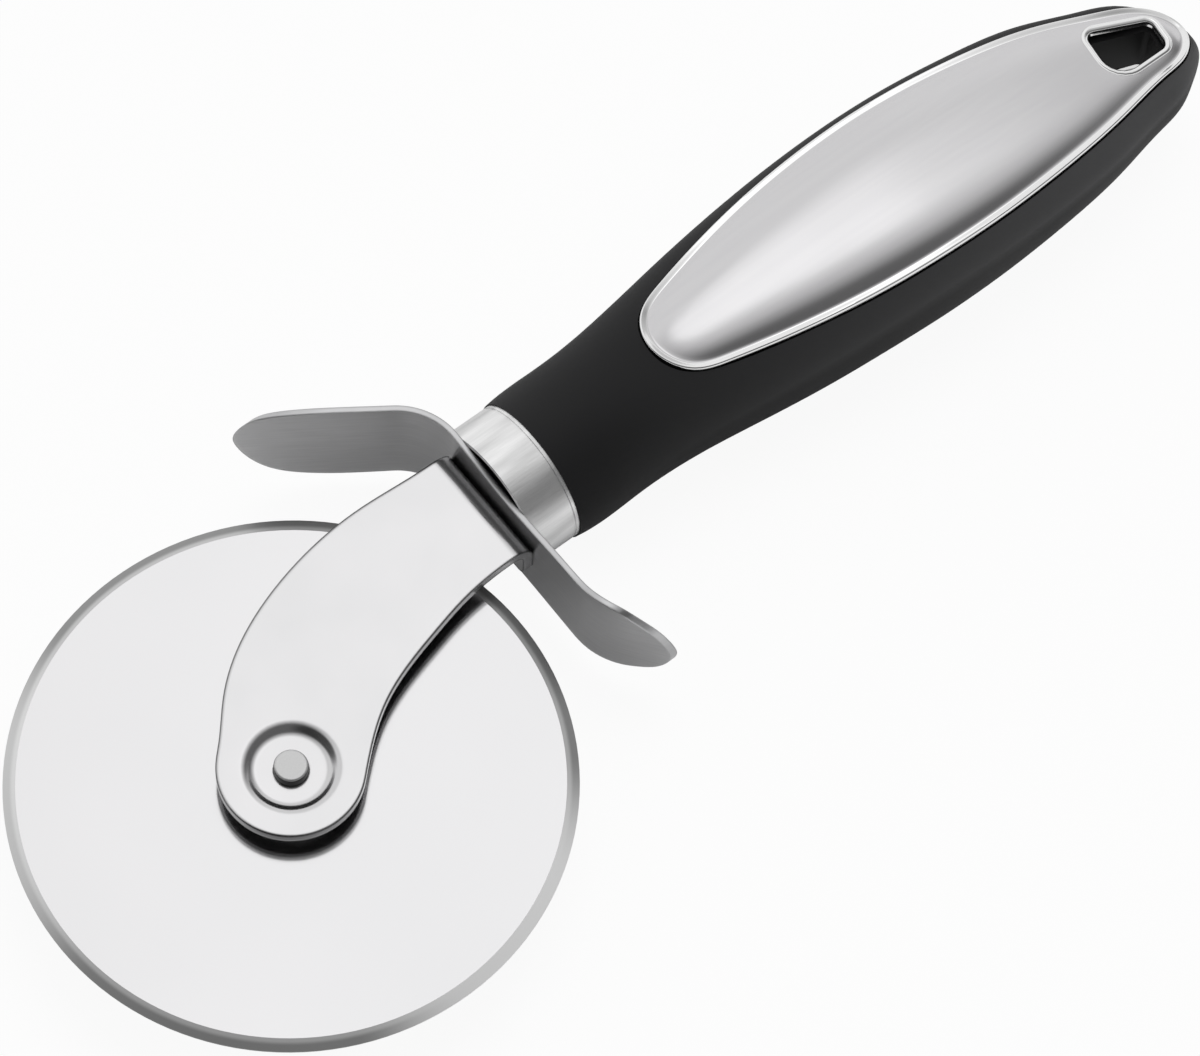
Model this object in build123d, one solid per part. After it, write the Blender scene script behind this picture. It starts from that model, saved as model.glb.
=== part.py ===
from build123d import *
import math
import os

# A pizza cutter lying on its side, in millimetres.
# The wheel turns about Z, the handle runs along +X and the thumb wing points to +Y.
# The work is done with the wheel's centre at the origin and moved to the frame at the end.

# Cutting wheel: a thin disc, ground on both sides to an edge.
wheel_radius = 36.0
wheel_thickness = 1.2
bevel_width = 1.6
edge_thickness = 0.2

# Bearing: a sleeve on the rivet, with a washer on each side of the wheel.
rivet_radius = 2.0
sleeve_wall = 1.0
running_gap = 0.05
slip_gap = 0.04
side_gap = 0.1
washer_thickness = 1.5
washer_radius = 4.4
tail_radius = 2.2
tail_height = 1.4
tail_round = 0.35
head_radius = 4.2
head_height = 1.3
head_round = 0.9

# Arm: one strap in front of the wheel, bent down to a foot, with a dish pressed in round the rivet.
strap_thickness = 1.5
arm_end_radius = 9.4
bend_radius = 3.2
rim_gap = 6.7
foot_width = 16.9
foot_drop = 2.6
foot_round = 1.2
dish_depth = 0.9
dish_floor_radius = 4.5
dish_slope = 0.85
dish_ease = 1.0
boss_radius = 5.0
handle_offset = 15.7
arm_start_angle = 155
arm_stop_angle = 313
thumb_edge_shares = ((0.71, 1.471), (0.302, 1.3), (-0.024, 0.816), (-0.135, 0.507))
finger_edge_shares = ((0.386, 0.003), (0.655, 0.239))

# Finger guard: one strip, with a thumb wing bent forward and a finger wing bent back.
guard_thickness = 0.8
thumb_rise = 25.8
thumb_reach = 11.7
thumb_angle = 55.4
thumb_bend_radius = 9.4
finger_rise = 31.0
finger_reach = 23.2
finger_angle = 37.0
finger_bend_radius = 12.6
# Its outline seen along the handle: a share of the rise to the side, and of the half width.
guard_width = 17.4
thumb_shares = (
    (0.0, 0.86),
    (0.36, 0.975),
    (0.64, 1.0),
    (0.83, 1.0),
    (0.93, 0.9),
    (0.985, 0.6),
    (1.0, 0.35),
    (0.988, 0.0),
    (0.943, -0.46),
    (0.86, -0.83),
    (0.758, -0.97),
    (0.56, -1.0),
    (0.36, -0.97),
)
finger_shares = (
    (0.0, -0.86),
    (0.506, -0.88),
    (0.7, -0.89),
    (0.81, -0.83),
    (0.88, -0.755),
    (0.94, -0.63),
    (0.99, -0.34),
    (1.0, -0.12),
    (0.975, 0.2),
    (0.928, 0.49),
    (0.87, 0.72),
    (0.81, 0.905),
    (0.75, 0.945),
    (0.62, 0.89),
    (0.45, 0.86),
)

# Ferrule and tang.
ferrule_radius = 10.0
ferrule_wall = 0.8
ferrule_length = 6.8
bead_width = 0.35
bead_depth = 0.15
bead_inset = 0.5
neck_inset = 0.35
tang_radius = 3.0
tang_length = 62.0
tenon_width = 5.0
tenon_height = 2.4
tang_head_width = 6.6
tang_head_depth = 1.0
groove_count = 4
groove_width = 2.4
groove_depth = 0.6
groove_start_share = 0.3
groove_pitch_share = 0.17

# Handle: soft grip over a hard core, shaped by sections along its length.
# A row of shares is position, half width, half thickness, bow to the side and closing of the tip.
handle_length = 108.7
belly_half_width = 14.3
belly_half_thickness = 11.1
handle_bow = 3.0
section_shares = (
    (0.0, 0.7133, 0.919, 0.0, 1.0),
    (0.09, 0.7305, 0.919, 0.045, 1.0),
    (0.181, 0.7635, 0.928, 0.155, 1.0),
    (0.273, 0.85, 0.964, 0.207, 1.0),
    (0.365, 0.927, 0.998, 0.22, 1.0),
    (0.457, 0.977, 0.991, 0.227, 1.0),
    (0.549, 1.0, 0.964, 0.187, 1.0),
    (0.641, 0.992, 0.901, 0.127, 1.0),
    (0.733, 0.937, 0.816, 0.033, 1.0),
    (0.825, 0.831, 0.698, -0.093, 1.0),
    (0.899, 0.668, 0.599, -0.333, 1.0),
    (0.945, 0.555, 0.563, -0.557, 0.974),
    (0.972, 0.462, 0.556, -0.767, 0.825),
    (0.987, 0.43, 0.556, -0.9, 0.635),
    (0.996, 0.42, 0.556, -0.983, 0.385),
    (1.0, 0.42, 0.556, -1.017, 0.14),
)
# How square the sections are: 2 is an ellipse, and more is squarer.
front_power = 2.0
belly_power = 3.0
power_start_share = 0.1
power_end_share = 0.55
section_points = 28
grip_wall = 3.0
core_share = 0.84

# Inlays: a plated plate in the front and in the back of the handle.
# A row of shares is position along the handle and half width.
inlay_thickness = 1.2
inlay_rise = 0.3
inlay_gap = 0.2
inlay_start_share = 0.178
inlay_end_share = 0.989
inlay_shares = (
    (0.2, 0.352),
    (0.246, 0.5),
    (0.32, 0.631),
    (0.422, 0.757),
    (0.523, 0.818),
    (0.627, 0.817),
    (0.731, 0.75),
    (0.839, 0.606),
    (0.919, 0.434),
    (0.966, 0.285),
)
peg_radius = 1.6
peg_length = 2.6
peg_position_shares = (0.34, 0.72)

# Hang hole: wide towards the wheel, narrow towards the tip, with one large rounding.
# A row of shares is a corner's place in half lengths and half widths. The last has the large rounding.
hole_length = 9.8
hole_width = 7.6
hole_corner_shares = ((-1.0, 0.97), (0.86, 0.37), (0.86, -0.74), (-1.0, -1.16))
hole_round = 1.2
hole_large_round = 3.0
hole_position_share = 0.914
hole_shift = 0.5
collar_wall = 0.8
collar_depth = 2.2
hole_step = 0.4

# Levels across the thickness, from the middle of the wheel outwards.
wheel_face = wheel_thickness / 2
dish_inner = wheel_face + side_gap + washer_thickness
dish_outer = dish_inner + strap_thickness
arm_inner = dish_inner + dish_depth
arm_outer = arm_inner + strap_thickness
sleeve_bore = rivet_radius + slip_gap
sleeve_radius = sleeve_bore + sleeve_wall
wheel_bore = sleeve_radius + running_gap

# Places along the handle.
guard_front = wheel_radius + rim_gap
guard_back = guard_front + guard_thickness
foot_front = guard_front - strap_thickness
fold_line = guard_front - bend_radius
grip_front = guard_back + ferrule_length
foot_low = handle_offset - ferrule_radius
foot_high = foot_low + foot_width
foot_flat = 2 * (arm_outer - bend_radius)
guard_middle = guard_front + guard_thickness / 2


def ring(outer, inner, bottom, top):
    # A plain ring about the wheel's axis.
    disc = Cylinder(outer, top - bottom) - Cylinder(inner, top - bottom)
    return Pos(0, 0, (top + bottom) / 2) * disc


def turned(points):
    # A solid turned about Z from a half section of radius and height pairs.
    outline = Polyline([(r, 0, z) for r, z in points], close=True)
    return revolve(make_face(outline), Axis.Z)


def turned_on_handle(points):
    # The same, about the handle's axis, from pairs of place along X and radius.
    outline = Polyline([(x, handle_offset + r, 0) for x, r in points], close=True)
    return revolve(make_face(outline), Axis((0, handle_offset, 0), (1, 0, 0)))


def between(rows, place, column):
    # The value of one column of shares at a place, read straight between two rows.
    for low, high in zip(rows, rows[1:]):
        if place <= high[0]:
            step = (place - low[0]) / (high[0] - low[0])
            return low[column] + step * (high[column] - low[column])
    return rows[-1][column]


def handle_middle(share):
    # The Y of the handle's middle line at a share of its length.
    return handle_offset + handle_bow * between(section_shares, share, 3)


def handle_section(share, width, thickness, bow, closing, grow):
    # One closed section across the handle, grown outwards by a length.
    blend = (share - power_start_share) / (power_end_share - power_start_share)
    power = front_power + (belly_power - front_power) * min(max(blend, 0), 1)
    half_y = (belly_half_width * width + grow) * closing
    half_z = (belly_half_thickness * thickness + grow) * closing
    x = grip_front + share * (handle_length + grow)
    y = handle_offset + handle_bow * bow
    points = []
    for k in range(section_points):
        turn = 2 * math.pi * k / section_points
        c = math.cos(turn)
        s = math.sin(turn)
        reach = (abs(c) ** power + abs(s) ** power) ** (-1 / power)
        points.append((x, y + half_y * reach * c, half_z * reach * s))
    return make_face(Spline(points, periodic=True))


def handle_body(grow, last_share):
    # The handle's outer shape grown by a length, up to a share of its length.
    rows = [row for row in section_shares if row[0] <= last_share]
    return loft([handle_section(*row, grow) for row in rows])


def inlay_block(gap):
    # A tall block with the outline of an inlay, widened by a gap.
    upper = []
    lower = []
    for share, width in inlay_shares:
        x = grip_front + share * handle_length
        half = belly_half_width * width + gap
        upper.append((x, handle_middle(share) + half))
        lower.insert(0, (x, handle_middle(share) - half))
    start = (grip_front + inlay_start_share * handle_length - gap, handle_middle(inlay_start_share))
    end = (grip_front + inlay_end_share * handle_length + gap, handle_middle(inlay_end_share))
    face = make_face(Spline([start] + upper + [end] + lower, periodic=True))
    return extrude(face, amount=2 * belly_half_thickness)


def hole_block(grow):
    # A tall block with the outline of the hang hole, widened all round.
    middle = grip_front + hole_position_share * handle_length
    y = handle_middle(hole_position_share) + hole_shift
    corners = [(hole_length / 2 * a, hole_width / 2 * b) for a, b in hole_corner_shares]
    turn = math.degrees(math.atan2(handle_middle(inlay_end_share) - handle_middle(core_share),
                                   (inlay_end_share - core_share) * handle_length))
    sharp = make_face(Polyline(corners, close=True))
    large_corner = sharp.vertices().sort_by_distance(corners[-1])[0]
    face = fillet(sharp.vertices(), hole_round) & fillet(large_corner, hole_large_round)
    if grow:
        face = offset(face, amount=grow)
    block = extrude(face, amount=2 * belly_half_thickness, both=True)
    return Pos(middle, y, 0) * (Rot(0, 0, turn) * block)


# The wheel, with its bevels.
cutting_wheel = turned([
    (wheel_bore, -wheel_face),
    (wheel_radius - bevel_width, -wheel_face),
    (wheel_radius, -edge_thickness / 2),
    (wheel_radius, edge_thickness / 2),
    (wheel_radius - bevel_width, wheel_face),
    (wheel_bore, wheel_face),
])

# The sleeve keeps the arm off the rivet's head, and the washers keep the wheel in the middle.
spacer_sleeve = ring(sleeve_radius, sleeve_bore, -dish_inner, dish_inner)
washer_bore = sleeve_radius + running_gap
front_washer = ring(washer_radius, washer_bore, wheel_face + side_gap, dish_inner)
rear_washer = mirror(front_washer, Plane.XY)

# The rivet: a head at the back and an upset tail at the front.
shank = Cylinder(rivet_radius, dish_inner + dish_outer, align=(Align.CENTER, Align.CENTER, Align.MIN))
tail = Cylinder(tail_radius, tail_height)
tail = fillet(tail.edges().group_by(Axis.Z)[-1], tail_round)
tail = Pos(0, 0, dish_outer + tail_height / 2) * tail
head = Cylinder(head_radius, head_height)
head = fillet(head.edges().group_by(Axis.Z)[0], head_round)
head = Pos(0, 0, -dish_inner - head_height / 2) * head
axle_rivet = Pos(0, 0, -dish_inner) * shank + tail + head

# The arm's blank seen from above: the round end, then an edge on each side up to the foot.
thumb_edge = [(a * fold_line, b * handle_offset) for a, b in thumb_edge_shares]
finger_edge = [(a * fold_line, b * handle_offset) for a, b in finger_edge_shares]


def on_end(angle):
    # A point of the arm's round end.
    turn = math.radians(angle)
    return (arm_end_radius * math.cos(turn), arm_end_radius * math.sin(turn))


def end_heading(angle):
    # The direction of the arm's round end at that point.
    turn = math.radians(angle)
    return (-math.sin(turn), math.cos(turn))


middle_angle = (arm_start_angle + arm_stop_angle) / 2
blank = [
    Line((guard_front, foot_low), (guard_front, foot_high)),
    Line((guard_front, foot_high), (fold_line, foot_high)),
    Spline([(fold_line, foot_high)] + thumb_edge + [on_end(arm_start_angle)],
           tangents=[(-1, 0), end_heading(arm_start_angle)]),
    ThreePointArc(on_end(arm_start_angle), on_end(middle_angle), on_end(arm_stop_angle)),
    Spline([on_end(arm_stop_angle)] + finger_edge + [(fold_line, foot_low)],
           tangents=[end_heading(arm_stop_angle), (1, 0)]),
    Line((fold_line, foot_low), (guard_front, foot_low)),
]
blank = extrude(make_face(Curve() + blank), amount=2 * arm_outer, both=True)


def block_below(end, top, bottom, radius):
    # A wide block that ends at a place along X, with its upper far edge rounded.
    block = Box(end + 2 * arm_end_radius, 6 * ferrule_radius, top - bottom, align=Align.MAX)
    block = fillet(block.edges().filter_by(Axis.Y).group_by(Axis.X)[-1].sort_by(Axis.Z)[-1], radius)
    return Pos(end, 3 * ferrule_radius, top) * block


# The strap seen from the side is an L. The arm is where the L and the blank meet.
outer_block = block_below(guard_front, arm_outer, -foot_drop, bend_radius)
inner_block = block_below(foot_front, arm_inner, -2 * foot_drop, bend_radius - strap_thickness)
wheel_arm = (outer_block - inner_block) & blank
wheel_arm = fillet(wheel_arm.edges().filter_by(Axis.X).group_by(Axis.Z)[0], foot_round)

# The dish in the arm: a boss on the inside and a recess on the outside.
boss = turned([
    (0, dish_inner),
    (boss_radius, dish_inner),
    (boss_radius + dish_slope, arm_inner),
    (boss_radius + dish_slope, arm_outer),
    (0, arm_outer),
])
dish_rim = dish_floor_radius + dish_slope + dish_ease
recess = Curve() + [
    Polyline((dish_rim, 0, arm_outer), (0, 0, arm_outer), (0, 0, dish_outer), (dish_floor_radius, 0, dish_outer)),
    Spline((dish_floor_radius, 0, dish_outer), (dish_rim, 0, arm_outer), tangents=[(1, 0, 0), (1, 0, 0)]),
]
recess = revolve(make_face(recess), Axis.Z)
wheel_arm = wheel_arm + boss - recess - Cylinder(rivet_radius + slip_gap, 4 * arm_outer)

# The guard's path seen from above, through the middle of the sheet.
thumb_turn = math.radians(90 + thumb_angle)
thumb_heading = Vector(math.cos(thumb_turn), math.sin(thumb_turn))
finger_turn = math.radians(finger_angle - 90)
finger_heading = Vector(math.cos(finger_turn), math.sin(finger_turn))
thumb_corner = Vector(guard_middle, handle_offset + thumb_reach)
finger_corner = Vector(guard_middle, handle_offset - finger_reach)
thumb_tip = thumb_corner + thumb_heading * (thumb_rise / thumb_heading.Y)
finger_tip = finger_corner - finger_heading * (finger_rise / finger_heading.Y)


def leg(start, end, width):
    # A straight piece of the strip seen from above.
    along = end - start
    middle = (start + end) / 2
    turn = math.degrees(math.atan2(along.Y, along.X))
    return Pos(middle.X, middle.Y) * (Rot(0, 0, turn) * Rectangle(along.length, width))


def bend(corner, before, after, radius):
    # A bend of the strip between two headings, and the two ends of it.
    turn = before.get_angle(after)
    run = radius * math.tan(math.radians(turn / 2))
    start = corner - before * run
    end = corner + after * run
    centre = start + (after - before * before.dot(after)).normalized() * radius
    outer = radius + guard_thickness / 2
    inner = radius - guard_thickness / 2
    a = (start - centre).normalized()
    b = (end - centre).normalized()
    m = (a + b).normalized()
    edges = [
        ThreePointArc(centre + a * outer, centre + m * outer, centre + b * outer),
        Line(centre + b * outer, centre + b * inner),
        ThreePointArc(centre + b * inner, centre + m * inner, centre + a * inner),
        Line(centre + a * inner, centre + a * outer),
    ]
    return make_face(Curve() + edges), start, end


down = Vector(0, -1)
thumb_bend, thumb_bend_start, thumb_bend_end = bend(thumb_corner, thumb_heading * -1, down, thumb_bend_radius)
finger_bend, finger_bend_start, finger_bend_end = bend(finger_corner, down, finger_heading, finger_bend_radius)
strip = thumb_bend + finger_bend
strip = strip + leg(thumb_tip, thumb_bend_start, guard_thickness)
strip = strip + leg(thumb_bend_end, finger_bend_start, guard_thickness)
strip = strip + leg(finger_bend_end, finger_tip, guard_thickness)
strip = extrude(strip, amount=guard_width, both=True)
outline = [(0, handle_offset + thumb_rise * a, guard_width / 2 * b) for a, b in thumb_shares]
outline = outline + [(0, handle_offset - finger_rise * a, guard_width / 2 * b) for a, b in finger_shares]
outline = make_face(Spline(outline, periodic=True))
finger_guard = strip & extrude(outline, amount=2 * guard_front, dir=(1, 0, 0))

# The tang's tenon goes through the foot and the guard.
tenon_hole = Box(4 * strap_thickness, tenon_width + 2 * slip_gap, tenon_height + 2 * slip_gap)
tenon_hole = Pos(guard_front, handle_offset, 0) * tenon_hole
finger_guard = finger_guard - tenon_hole
wheel_arm = wheel_arm - tenon_hole

# The ferrule is a tube with a rolled line near its handle end.
ferrule_bore = ferrule_radius - ferrule_wall
bead_end = grip_front - bead_inset
bead_start = bead_end - bead_width
ferrule = turned_on_handle([
    (guard_back, ferrule_bore),
    (grip_front, ferrule_bore),
    (grip_front, ferrule_radius),
    (bead_end, ferrule_radius),
    (bead_end, ferrule_radius - bead_depth),
    (bead_start, ferrule_radius - bead_depth),
    (bead_start, ferrule_radius),
    (guard_back, ferrule_radius),
])

# The tang: a flat tenon through the foot and the guard, closed over in front, and a grooved rod.
tang_end = guard_back + tang_length
rod = turned_on_handle([(guard_back, 0), (guard_back, tang_radius), (tang_end, tang_radius), (tang_end, 0)])
tenon = Box(guard_back - foot_front, tenon_width, tenon_height, align=(Align.MIN, Align.CENTER, Align.CENTER))
tang_head = Box(tang_head_depth, tang_head_width, foot_flat, align=(Align.MAX, Align.CENTER, Align.CENTER))
tang = rod + Pos(foot_front, handle_offset, 0) * (tenon + tang_head)
for k in range(groove_count):
    groove_start = guard_back + tang_length * (groove_start_share + k * groove_pitch_share)
    tang = tang - turned_on_handle([
        (groove_start, tang_radius - groove_depth),
        (groove_start + groove_width, tang_radius - groove_depth),
        (groove_start + groove_width, 2 * tang_radius),
        (groove_start, 2 * tang_radius),
    ])

# The shapes of the handle, one inside the other.
outer_shape = handle_body(0, 1)
raised_shape = handle_body(inlay_rise, 1)
under_shape = handle_body(inlay_rise - inlay_thickness, 1)
core_shape = handle_body(-grip_wall, core_share)



def pegs(grow):
    # The pegs that hold an inlay in the core, grown all round by a length.
    made = []
    for share in peg_position_shares:
        x = grip_front + share * handle_length
        top = belly_half_thickness * between(section_shares, share, 2)
        bottom = top - grip_wall - peg_length - grow
        peg = Cylinder(peg_radius + grow, top - bottom, align=(Align.CENTER, Align.CENTER, Align.MIN))
        made.append(Pos(x, handle_middle(share), bottom) * peg)
    return made


# An inlay: a plate that follows the handle, pegs under it and a collar round the hang hole.
collar_bottom = belly_half_thickness * between(section_shares, hole_position_share, 2) - collar_depth
collar = hole_block(collar_wall) & (Pos(0, 0, collar_bottom) * inlay_block(0))
plate = inlay_block(0) - under_shape
front_inlay = ((plate + collar) & raised_shape) + [peg & under_shape for peg in pegs(0)]
front_inlay = front_inlay - hole_block(0)
rear_inlay = mirror(front_inlay, Plane.XY)

# The core: a neck in the ferrule and a body in the grip.
neck_front = guard_back + neck_inset
neck = turned_on_handle([
    (neck_front, 0),
    (neck_front, ferrule_bore - slip_gap),
    (grip_front, ferrule_bore - slip_gap),
    (grip_front, 0),
])
sockets = pegs(slip_gap)
sockets = sockets + [mirror(peg, Plane.XY) for peg in sockets]
handle_core = (neck + core_shape) - tang - sockets

# The grip: the outer shape without the core, the inlays and the hang hole.
pocket = inlay_block(inlay_gap) - under_shape
handle_grip = outer_shape - core_shape - pocket - mirror(pocket, Plane.XY) - sockets
collar_seat = hole_block(collar_wall) & (Pos(0, 0, collar_bottom) * inlay_block(0))
handle_grip = handle_grip - collar_seat - mirror(collar_seat, Plane.XY) - hole_block(-hole_step)

parts = {
    "cutting_wheel": cutting_wheel,
    "spacer_sleeve": spacer_sleeve,
    "front_washer": front_washer,
    "rear_washer": rear_washer,
    "axle_rivet": axle_rivet,
    "wheel_arm": wheel_arm,
    "finger_guard": finger_guard,
    "ferrule": ferrule,
    "tang": tang,
    "handle_core": handle_core,
    "handle_grip": handle_grip,
    "front_inlay": front_inlay,
    "rear_inlay": rear_inlay,
}

# The frame's origin is under the middle of the whole part, on the surface it lies on.
boxes = [shape.bounding_box() for shape in parts.values()]
middle_x = (min(box.min.X for box in boxes) + max(box.max.X for box in boxes)) / 2
middle_y = (min(box.min.Y for box in boxes) + max(box.max.Y for box in boxes)) / 2
lowest = min(box.min.Z for box in boxes)
frame_shift = Pos(-middle_x, -middle_y, -lowest)
print("wheel axis at", -middle_x, -middle_y, "middle of the wheel at", -lowest)

os.makedirs("parts", exist_ok=True)
for name, shape in parts.items():
    placed = frame_shift * shape
    print(name, len(placed.solids()), round(placed.volume, 1))
    export_step(placed, "parts/" + name + ".step")
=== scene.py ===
# %% [markdown]
# # A pizza cutter in polished steel, soft black grip and bright plate
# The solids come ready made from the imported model. They already have the right size and place,
# so this lesson gives them their finishes, the light and the camera.

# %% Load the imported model
import bmesh
import bpy
import math
import numpy as np
from mathutils import Matrix, Vector


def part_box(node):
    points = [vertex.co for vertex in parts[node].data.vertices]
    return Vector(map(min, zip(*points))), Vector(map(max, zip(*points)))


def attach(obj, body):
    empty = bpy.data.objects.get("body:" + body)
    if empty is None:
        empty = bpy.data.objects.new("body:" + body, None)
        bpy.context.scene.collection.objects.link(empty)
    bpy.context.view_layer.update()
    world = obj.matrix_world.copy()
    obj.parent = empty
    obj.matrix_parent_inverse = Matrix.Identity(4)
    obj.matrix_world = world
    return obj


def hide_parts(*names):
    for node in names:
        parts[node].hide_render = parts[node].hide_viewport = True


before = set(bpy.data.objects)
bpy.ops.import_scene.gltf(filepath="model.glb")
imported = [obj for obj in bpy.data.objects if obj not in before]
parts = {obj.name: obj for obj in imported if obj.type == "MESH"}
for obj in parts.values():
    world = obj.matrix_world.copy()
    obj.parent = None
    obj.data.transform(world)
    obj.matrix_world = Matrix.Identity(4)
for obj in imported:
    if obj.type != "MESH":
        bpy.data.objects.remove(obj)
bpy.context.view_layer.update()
print("parts:", sorted(parts))

# %% [markdown]
# ## Where things are
# The wheel's axis and the handle's axis are used again and again, so they are read from the solids
# once. The wheel is round about its axis, and the ferrule about the handle's.

# %% Find the two axes
low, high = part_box("cutting_wheel")
wheel_centre = (low + high) / 2
wheel_radius = (high.x - low.x) / 2
low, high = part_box("ferrule")
handle_axis = (low + high) / 2
print("wheel centre", wheel_centre, "radius", wheel_radius, "handle axis", handle_axis)

# %% [markdown]
# ## The camera
# The photograph was taken from far away with a long lens, from above and a little from the front
# left. The three directions below are the camera's right, up and back, and the eye is its place.
# A long lens keeps the wheel's circle nearly free of perspective.

# %% Place the camera
right = Vector((0.78442831, -0.61950415, 0.02977968))
up = Vector((0.54994765, 0.71694865, 0.42841828))
back = Vector((-0.2867574, -0.31968616, 0.90308967))
eye = Vector((-0.22876, -0.24346, 0.70268))

lens = bpy.data.cameras.new("long_lens")
lens.lens = 180
lens.sensor_width = 36
camera = bpy.data.objects.new("camera", lens)
bpy.context.scene.collection.objects.link(camera)
camera.matrix_world = Matrix.Translation(eye) @ Matrix((right, up, back)).transposed().to_4x4()
bpy.context.scene.camera = camera
print("camera at", camera.location, "looking along", -back)

# %% [markdown]
# ## Two small helpers
# Colours are picked as sRGB hex codes, which a shader needs as linear numbers. A finish is a tree
# of nodes, so one helper makes a node, sets its values and links its inputs in a single line.

# %% Colour and node helpers
def linear(code):
    channels = []
    for k in (1, 3, 5):
        value = int(code[k:k + 2], 16) / 255
        channels.append(value / 12.92 if value <= 0.04045 else ((value + 0.055) / 1.055) ** 2.4)
    return (*channels, 1)


def add(tree, kind, inputs=None, **settings):
    node = tree.nodes.new(kind)
    for name, value in settings.items():
        setattr(node, name, value)
    for name, value in (inputs or {}).items():
        if isinstance(value, bpy.types.NodeSocket):
            tree.links.new(value, node.inputs[name])
        else:
            node.inputs[name].default_value = value
    return node


print("white is", linear("#FFFFFF"), "and mid grey is", linear("#808080"))

# %% [markdown]
# ## The studio
# Bright metal has no colour of its own: it shows what stands round it. A product photographer hangs
# a wide soft light over polished steel and leaves the rest of the room darker, so that rounded
# metal gets dark bands that draw its shape. Here the sky does this without any lamp shape showing:
# a bright round patch where flat steel looks, a paler back wall, and a bright paper sweep at the
# horizon, with a dark room between them on the camera's side.

# %% Make the sky
world = bpy.data.worlds.new("studio")
bpy.context.scene.world = world
world.use_nodes = True
tree = world.node_tree
tree.nodes.clear()
look = add(tree, "ShaderNodeTexCoord").outputs["Generated"]
way = add(tree, "ShaderNodeSeparateXYZ", {0: look})
overhead = Vector((0.29, 0.24, 0.92)).normalized()
near = add(tree, "ShaderNodeVectorMath", {0: look, 1: overhead}, operation="DOT_PRODUCT")
patch = add(tree, "ShaderNodeValToRGB", {0: near.outputs["Value"]})
back_wall = add(tree, "ShaderNodeMapRange",
                {0: way.outputs["Y"], 1: -0.3, 2: 0.6, 3: 0.12, 4: 0.95},
                interpolation_type="SMOOTHSTEP")
# The left end of the room is dark, and draws a thin line along edges that face it.
left_end = add(tree, "ShaderNodeMapRange",
               {0: way.outputs["X"], 1: -0.72, 2: -0.4, 3: 0.06, 4: 1.0},
               interpolation_type="SMOOTHSTEP")
room = add(tree, "ShaderNodeMath", {0: back_wall.outputs[0], 1: left_end.outputs[0]},
           operation="MULTIPLY")
sweep = add(tree, "ShaderNodeMapRange", {0: way.outputs["Z"], 1: 0.1, 2: 0.27, 3: 0.92, 4: 0.0},
            interpolation_type="SMOOTHSTEP")
# The patch is full up to 7 degrees from its middle and fades out at 62 degrees.
steps = [(0.47, 0.0), (0.64, 0.2), (0.8, 0.48), (0.93, 0.8), (0.965, 0.95), (0.992, 1.42)]
while len(patch.color_ramp.elements) < len(steps):
    patch.color_ramp.elements.new(0.5)
for stop, (place, grey) in zip(patch.color_ramp.elements, steps):
    stop.position = place
    stop.color = (grey, grey, grey, 1)
low_light = add(tree, "ShaderNodeMath", {0: room.outputs[0], 1: sweep.outputs[0]},
                operation="MAXIMUM")
strength = add(tree, "ShaderNodeMath", {0: low_light.outputs[0], 1: patch.outputs[0]},
               operation="MAXIMUM")
sky = add(tree, "ShaderNodeBackground", {0: (1, 1, 1, 1), 1: strength.outputs[0]})
paper = add(tree, "ShaderNodeBackground", {0: (1, 1, 1, 1), 1: 1.0})
path = add(tree, "ShaderNodeLightPath")
shiny = add(tree, "ShaderNodeMath", {0: path.outputs["Is Glossy Ray"], 1: 0.04},
            operation="MULTIPLY")
seen = add(tree, "ShaderNodeMath", {0: path.outputs["Is Camera Ray"], 1: shiny.outputs[0]},
           operation="ADD")
seen = add(tree, "ShaderNodeMath", {0: seen.outputs[0], 1: path.outputs["Is Transmission Ray"]},
           operation="ADD", use_clamp=True)
mixed = add(tree, "ShaderNodeMixShader",
            {0: seen.outputs[0], 1: sky.outputs[0], 2: paper.outputs[0]})
add(tree, "ShaderNodeOutputWorld", {0: mixed.outputs[0]})
print("sky made with", len(tree.nodes), "nodes, brightest towards", overhead)

# %% [markdown]
# ## The lamp
# One large soft lamp near the bright patch gives the floor a soft shadow and lifts the colours to
# the level at which they are written. Its round shape is kept out of the steel, which shows the
# sky alone.

# %% Hang the lamp
lamp_height = 1.6
softbox = bpy.data.lights.new("overhead_lamp", "AREA")
softbox.shape = "DISK"
softbox.size = 1.1
softbox.energy = 9
lamp = bpy.data.objects.new("overhead_lamp", softbox)
lamp.location = overhead * lamp_height
lamp.rotation_euler = overhead.to_track_quat("Z", "Y").to_euler()
lamp.visible_glossy = False
bpy.context.scene.collection.objects.link(lamp)
print("one lamp of", softbox.energy, "W hung at", lamp.location)

# %% [markdown]
# ## The floor
# The cutter lies on white paper. The camera sees the paper nearly as pure white, with a trace of
# the shadow. Steel sees that white as well, more of it far away than close by, where the part
# shades the paper, and the bent guard shows that.

# %% Lay the floor
floor_reach = 3
build = bmesh.new()
bmesh.ops.create_grid(build, x_segments=8, y_segments=8, size=floor_reach)
mesh = bpy.data.meshes.new("paper_floor")
build.to_mesh(mesh)
build.free()
floor = bpy.data.objects.new("paper_floor", mesh)
bpy.context.scene.collection.objects.link(floor)
print("floor laid,", 2 * floor_reach, "m wide")

# %% [markdown]
# ## White paper, for the floor
# Coated paper is matte and nearly white. Under the handle little light reaches it, and there the
# paper's colour is also painted grey, a painted shadow that keeps the hang hole dark too.

# %% Make the paper
paper_white = bpy.data.materials.new("white_paper")
paper_white.use_nodes = True
tree = paper_white.node_tree
tree.nodes.clear()
place = add(tree, "ShaderNodeTexCoord").outputs["Object"]
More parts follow.
